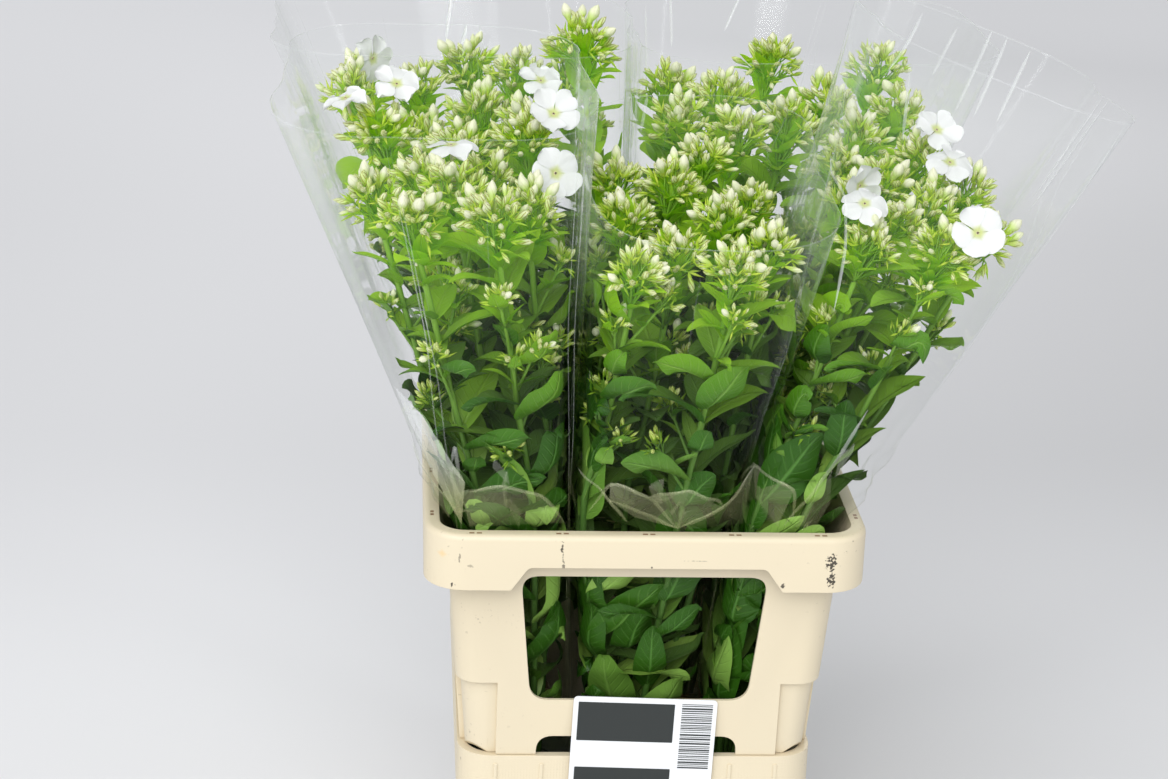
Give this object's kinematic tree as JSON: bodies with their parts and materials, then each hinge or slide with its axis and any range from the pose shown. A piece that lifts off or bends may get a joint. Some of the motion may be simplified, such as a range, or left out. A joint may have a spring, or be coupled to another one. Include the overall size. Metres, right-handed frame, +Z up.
{
  "type": "phlox plant",
  "caption": "White garden phlox in bud, five sleeved bunches of stems standing in a cream flower bucket with a raised collar.",
  "frame": {"origin": "middle of the bucket's flat underside", "axes": "+Z up; -Y towards the short side that carries the card; +X to the right of that side"},
  "size_m": [0.567, 0.52, 0.7492],
  "materials": {
    "cream_plastic": "satin moulded plastic, scuffed",
    "water": "clear, slightly cloudy",
    "card": "coated card, printed bars only",
    "foliage": "fresh leaves, satin, with green and cream buds",
    "film": "clear thin film, glossy",
    "band": "dull rubber",
    "petal": "soft white petal"
  },
  "bodies": {
    "root": {"bucket": "cream_plastic", "collar": "cream_plastic", "water": "water", "card": "card", "bunch_left": "foliage", "sleeve_left": "film", "tie_left": "band", "bunch_middle": "foliage", "sleeve_middle": "film", "tie_middle": "band", "bunch_right": "foliage", "sleeve_right": "film", "tie_right": "band", "bunch_rear_left": "foliage", "sleeve_rear_left": "film", "tie_rear_left": "band", "bunch_rear_right": "foliage", "sleeve_rear_right": "film", "tie_rear_right": "band", "bloom_01": "petal", "bloom_02": "petal", "bloom_03": "petal", "bloom_04": "petal", "bloom_05": "petal", "bloom_06": "petal", "bloom_07": "petal", "bloom_08": "petal", "bloom_09": "petal", "bloom_10": "petal", "bloom_11": "petal", "bloom_12": "petal"}
  },
  "joints": []
}
